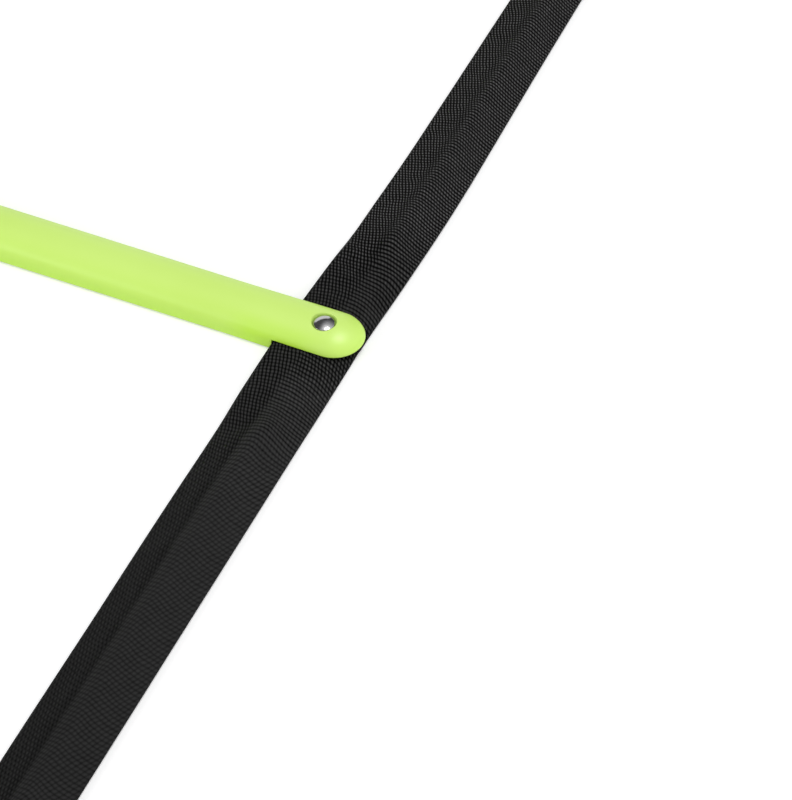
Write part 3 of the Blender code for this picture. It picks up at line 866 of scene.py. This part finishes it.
def stitches(bm, start, end, top):
    """A row of lock stitches: short arches of thread that dip where they go through the cloth."""
    run = Vector((end[0] - start[0], end[1] - start[1], 0))
    count = round(run.length / STITCH_LENGTH)
    step = run / count
    way = run.normalized()
    aside = Vector((-way.y, way.x, 0))
    for i in range(count):
        rings = []
        for share, rise, thick in STITCH_ARCH:
            centre = Vector((start[0], start[1], top)) + step * (i + share + STITCH_GAP)
            centre.z += rise * THREAD_RADIUS
            ring = []
            for k in range(9):
                angle = 2 * pi * k / 8
                out = aside * cos(angle) + Vector((0, 0, 1)) * sin(angle)
                ring.append(tuple(centre + out * THREAD_RADIUS * thick))
            rings.append(ring)
        grid(bm, rings)
        flat_face(bm, rings[0][:-1])
        flat_face(bm, rings[-1][:-1])


def hem_stitches(name, x, start, along, material):
    """The box of stitches that holds the hem round its eyelet."""
    first = start + along * (HEM_START + HEM_TO_STITCH)
    far = start + along * (TAIL_LENGTH - END_TO_STITCH)
    second = first + along * STITCH_ROWS_APART
    bm = bmesh.new()
    for y in (first, second, far):
        stitches(bm, (x - STITCH_BOX_HALF, y), (x + STITCH_BOX_HALF, y), HEM_THICK)
    for edge in (x - STITCH_BOX_HALF, x + STITCH_BOX_HALF):
        stitches(bm, (edge, second), (edge, far), HEM_THICK)
    return welded(name, bm, [material])


def strap_stations(start, end):
    """Places along a piece: close together near a rung or a hem, wider apart in a bay."""
    places = [start]
    along = 1 if end > start else -1
    while (end - places[-1]) * along > WELD:
        offset = abs(places[-1] - round(places[-1] / RUNG_PITCH) * RUNG_PITCH)
        step = CLOSE_STEP if offset < CLOSE_WITHIN else WIDE_STEP
        places.append(places[-1] + along * step)
    places[-1] = end
    if abs(places[-2] - end) < CLOSE_STEP / 2:
        places.pop(-2)
    if abs(end) > rung_y(RUNG_COUNT) + SEAT_HALF:
        hem_steps = (-0.0006, -0.0004, -0.0002, 0, 0.0002, 0.0004, 0.0006)
        close = [HEM_START + step for step in hem_steps]
        close += [TAIL_LENGTH - step for step in (0.0023, 0.0019, 0.0014, 0.0009, 0.0005, 0.0002)]
        places = {*places, *(start + along * step for step in close)}
        places = sorted(places, key=lambda place: place * along)
    return places


def sleeve_piece(name, sleeve, start, end, weave_scale=(1.0, 1.0)):
    """A length of the sleeve, closed at both ends, with its weave laid along it."""
    stations = strap_stations(start, end)
    rings = [sleeve.section(y) for y in stations]
    bm = bmesh.new()
    sleeve_map = bm.loops.layers.uv.new("sleeve")
    count = len(rings[0])
    vertices, places = [], []
    for y, ring in zip(stations, rings):
        vertices.append([bm.verts.new((sleeve.side * x, y, z)) for x, z in ring])
        places.append(sleeve.along_ring(ring))
    for k in range(len(stations) - 1):
        for i in range(count):
            after = (i + 1) % count
            corners = ((k, i, i), (k, after, i + 1), (k + 1, after, i + 1), (k + 1, i, i))
            face = bm.faces.new([vertices[row][column] for row, column, _ in corners])
            for loop, (row, _, place) in zip(face.loops, corners):
                across, along = places[row][place], stations[row]
                loop[sleeve_map].uv = (across * weave_scale[0], along * weave_scale[1])
    for row in (0, -1):
        bm.faces.new(vertices[row])
    return finished(name, bm, [cloth], SHARP_CLOTH_EDGE)


# The ladder

lime = moulded_polypropylene()
cloth = woven_polyester()
thread = polyester_thread()
bright_nickel = plated_steel("nickel_plated_steel_polished", "C8C8CA", "B4B3B2", 0.12, 0.1)
dull_nickel = plated_steel("nickel_plated_steel_pressed", "B9B8B6", "9E9C99", 0.24, 0.3)
zinc = plated_steel("zinc_plated_steel", "A9ABAE", "8B8D90", 0.38, 0.4)

SIDES = (("left", -1), ("right", 1))
rung_data = rung_mesh(lime)
rivet_data = turned("rivet", rivet_profile(), 72, bright_nickel)
washer_data = turned("washer", washer_profile(), 48, zinc, closed=True)
eyelet_data = turned("eyelet", eyelet_profile(), 64, dull_nickel, closed=True)


def placed(name, mesh, at, body, node):
    """A copy of a piece, put in place and bound to its body, standing for its plain solid."""
    piece = linked(name, mesh.copy())
    piece.location = at
    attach(piece, body)
    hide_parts(node)
    return piece


for number in range(1, RUNG_COUNT + 1):
    body, y = f"station_{number}", rung_y(number)
    placed(f"moulded_rung_{number}", rung_data, (0, y, 0), body, f"rung_{number}")
    for side_name, side in SIDES:
        at = (side * RIVET_X, y, 0)
        node = f"{side_name}_rivet_{number}"
        name = f"{side_name}_rivet_turned_{number}"
        placed(name, rivet_data.data, at, body, node)
        node = f"{side_name}_washer_{number}"
        name = f"{side_name}_washer_pressed_{number}"
        placed(name, washer_data.data, at, body, node)

for end_name, along, number in (("front", -1, 1), ("back", 1, RUNG_COUNT)):
    for side_name, side in SIDES:
        at = (side * STRAP_X, rung_y(number) + along * EYELET_FROM_RUNG, 0)
        node = f"{side_name}_{end_name}_eyelet"
        placed(f"{node}_pressed", eyelet_data.data, at, f"{end_name}_tails", node)

for template in (rivet_data, washer_data, eyelet_data):
    bpy.data.objects.remove(template)


def bind_strap(piece, first, second, bend_start, bend_end, nodes):
    """Cloth with its placement baked into its points, standing for its plain solids."""
    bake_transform(piece)
    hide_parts(*nodes)


BEND_RUN = 0.020
CREASE_RUN = 0.015
TAIL_BEND_RUN = 0.012
# The weave lies closer in the back bays: its scale across and along
WEAVE_SCALES = {1: (1.0, 1.0), 2: (1.0, 1.0), 3: (1.02, 1.2), 4: (1.02, 1.2)}
for side_name, side in SIDES:
    sleeve = Sleeve(side, 7 + side)
    if side > 0:
        sleeve.bays[1] = [WIDE_INNER_MM[::-1], WIDE_OUTER_MM[::-1], 0.0]
        sleeve.bays[2] = [NARROW_INNER_MM, NARROW_OUTER_MM, 0.03]
        sleeve.puckers = [pucker for pucker in sleeve.puckers if abs(pucker[0]) > 0.1]
        sleeve.puckers += MIDDLE_PUCKERS
    for bay in range(1, RUNG_COUNT):
        low, high = rung_y(bay), rung_y(bay + 1)
        near_hinge, far_hinge = low + SEAT_HALF, high - SEAT_HALF
        crease = (low + high) / 2
        quarter, last_quarter = near_hinge + HALF_BAY / 2, far_hinge - HALF_BAY / 2
        front, back = f"bay_{bay}_front", f"bay_{bay}_back"
        front_node, back_node = f"{side_name}_strap_{front}", f"{side_name}_strap_{back}"
        scale = WEAVE_SCALES[bay]
        piece = sleeve_piece(f"{side_name}_sleeve_{front}", sleeve, low, quarter, scale)
        seat = f"{side_name}_strap_seat_{bay}"
        bend = (near_hinge, near_hinge + BEND_RUN)
        bind_strap(piece, f"station_{bay}", front, *bend, (front_node, seat))
        name = f"{side_name}_sleeve_bay_{bay}_middle"
        piece = sleeve_piece(name, sleeve, quarter, last_quarter, scale)
        bend = (crease - CREASE_RUN, crease + CREASE_RUN)
        bind_strap(piece, front, back, *bend, (front_node, back_node))
        piece = sleeve_piece(f"{side_name}_sleeve_{back}", sleeve, last_quarter, high, scale)
        bend = (far_hinge - BEND_RUN, far_hinge)
        bind_strap(piece, back, f"station_{bay + 1}", *bend, (back_node,))
    for end_name, along, number in (("front", -1, 1), ("back", 1, RUNG_COUNT)):
        start = rung_y(number)
        hinge = start + along * SEAT_HALF
        end = start + along * TAIL_LENGTH
        piece = sleeve_piece(f"{side_name}_sleeve_{end_name}_tail", sleeve, start, end)
        nodes = [f"{side_name}_strap_{end_name}_tail"]
        if end_name == "back":
            nodes.append(f"{side_name}_strap_seat_{number}")
        bored(piece, side * STRAP_X, start + along * EYELET_FROM_RUNG)
        bend = (hinge, hinge + along * TAIL_BEND_RUN)
        bind_strap(piece, f"station_{number}", f"{end_name}_tails", *bend, nodes)
        name = f"{side_name}_{end_name}_hem_stitches"
        piece = hem_stitches(name, side * STRAP_X, start, along, thread)
        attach(piece, f"{end_name}_tails")


# Studio

FLOOR_HALF = 6
FLOOR_Z = -0.0004
CAMERA_GLOW = 0.27
MIRROR_GLOW = 0.15
LAMP_WAY = (0.19, 0.10, 0.977)
GLOW_ROUND_LAMP = (
    (0.50, "4E4E50"), (0.64, "707072"), (0.79, "A0A0A2"), (0.90, "CCCCCE"), (0.96, "FFFFFF")
)
# The way across each of the backdrop's edges, and where on it the edge starts and ends
BACKDROP_EDGES = (
    ((-0.972, -0.19, 0.0), -0.04, 0.05),
    ((0.5, 0.866, 0.0), -0.05, 0.10),
    ((-0.519, 0.256, -0.816), -0.03, 0.03),
)
VIEW_AZIMUTH = radians(23.962)
VIEW_ELEVATION = radians(45.943)
VIEW_TARGET = (0.25941, -0.022362, 0)
VIEW_DISTANCE = 2.2577
LENS_MM = 212.28


def floor_paper():
    """Matt white paper that stays white to the camera and in mirrors, but keeps shadows."""
    made, tree, shader = new_material("white_paper_floor")
    tree.nodes.remove(shader)
    paper = add(tree, "BsdfDiffuse", {"Color": linear("EDEDED")})
    path = add(tree, "LightPath").outputs
    mirrored = (path["Is Glossy Ray"], path["Is Transmission Ray"])
    mirrored = add(tree, "Math", mirrored, operation="MAXIMUM")
    mirrored = add(tree, "Math", (mirrored, MIRROR_GLOW), operation="MULTIPLY")
    strength = (path["Is Camera Ray"], CAMERA_GLOW, mirrored)
    strength = add(tree, "Math", strength, operation="MULTIPLY_ADD")
    glow = add(tree, "Emission", {"Color": linear("FFFFFF"), "Strength": strength})
    feed(tree, tree.nodes["Material Output"], {"Surface": add(tree, "AddShader", (paper, glow))})
    return made


def studio_floor():
    """A wide floor just under the ladder, so that the two don't share a plane."""
    bm = bmesh.new()
    ends = (-FLOOR_HALF, FLOOR_HALF)
    grid(bm, [[(x, y, FLOOR_Z) for x in ends] for y in ends])
    floor = welded("studio_floor", bm, [floor_paper()])


def studio_world():
    """A white room: a glow round the overhead lamp, greyer walls, and a white backdrop behind."""
    world = bpy.data.worlds.new("studio")
    bpy.context.scene.world = world
    world.use_nodes = True
    tree = world.node_tree
    way = add(tree, "TexCoord").outputs["Generated"]

    def past(direction, low, high):
        """From 0 to 1 over a soft edge that stands square to a direction."""
        share = add(tree, "VectorMath", (way, direction), operation="DOT_PRODUCT")
        edge = (share.outputs["Value"], low, high)
        return add(tree, "MapRange", edge, interpolation_type="SMOOTHSTEP")

    near_lamp = add(tree, "VectorMath", (way, LAMP_WAY), operation="DOT_PRODUCT")
    room = add(tree, "ValToRGB", (near_lamp.outputs["Value"],), stops=GLOW_ROUND_LAMP)
    front_wall = (past((0, 0, 1), 0.30, 0.80), linear("B4B4B4"), linear("D4D4D4"))
    front_wall = add(tree, "MixRGB", front_wall)
    left_wall, right_wall = linear("585858"), linear("E8E8E8")
    walls = (
        ((0, 1, 0), 0.10, -0.30, front_wall),
        ((1, 0, 0), -0.05, -0.50, left_wall),
        ((1, 0, 0), 0.25, 0.65, right_wall),
    )
    for direction, low, high, shade in walls:
        room = add(tree, "MixRGB", (past(direction, low, high), room, shade))
    backdrop = 1.0
    for edge in BACKDROP_EDGES:
        backdrop = add(tree, "Math", (past(*edge), backdrop), operation="MULTIPLY")
    room = add(tree, "MixRGB", (backdrop, room, linear("FFFFFF")))
    feed(tree, tree.nodes["Background"], {"Color": room, "Strength": 1.0})


def soft_lamp(name, at, size, power, target=(0.2, 0, 0)):
    light = bpy.data.lights.new(name, "AREA")
    light.shape = "DISK"
    light.size = size
    light.energy = power
    lamp = bpy.data.objects.new(name, light)
    bpy.context.scene.collection.objects.link(lamp)
    lamp.location = at
    lamp.rotation_euler = (Vector(target) - Vector(at)).to_track_quat("-Z", "Y").to_euler()


def camera():
    """The photograph's view: a long lens, from the right and front, looking down at 46 degrees."""
    level = cos(VIEW_ELEVATION)
    forward = (-sin(VIEW_AZIMUTH) * level, cos(VIEW_AZIMUTH) * level, -sin(VIEW_ELEVATION))
    forward = Vector(forward)
    data = bpy.data.cameras.new("camera")
    data.sensor_fit = "AUTO"
    data.sensor_width = 36
    data.lens = LENS_MM
    data.clip_end = 50
    seen_from = bpy.data.objects.new("camera", data)
    bpy.context.scene.collection.objects.link(seen_from)
    seen_from.location = Vector(VIEW_TARGET) - forward * VIEW_DISTANCE
    seen_from.rotation_euler = forward.to_track_quat("-Z", "Y").to_euler()
    bpy.context.scene.camera = seen_from


studio_floor()
studio_world()
soft_lamp("overhead_lamp", (0.51, 0.16, 1.56), 0.55, 8.7)
soft_lamp("window_lamp", (1.55, 0.75, 1.30), 1.6, 1.8)
soft_lamp("front_lamp", (-1.4, -1.6, 0.95), 1.2, 18)
camera()
bpy.context.scene.view_settings.view_transform = "Standard"
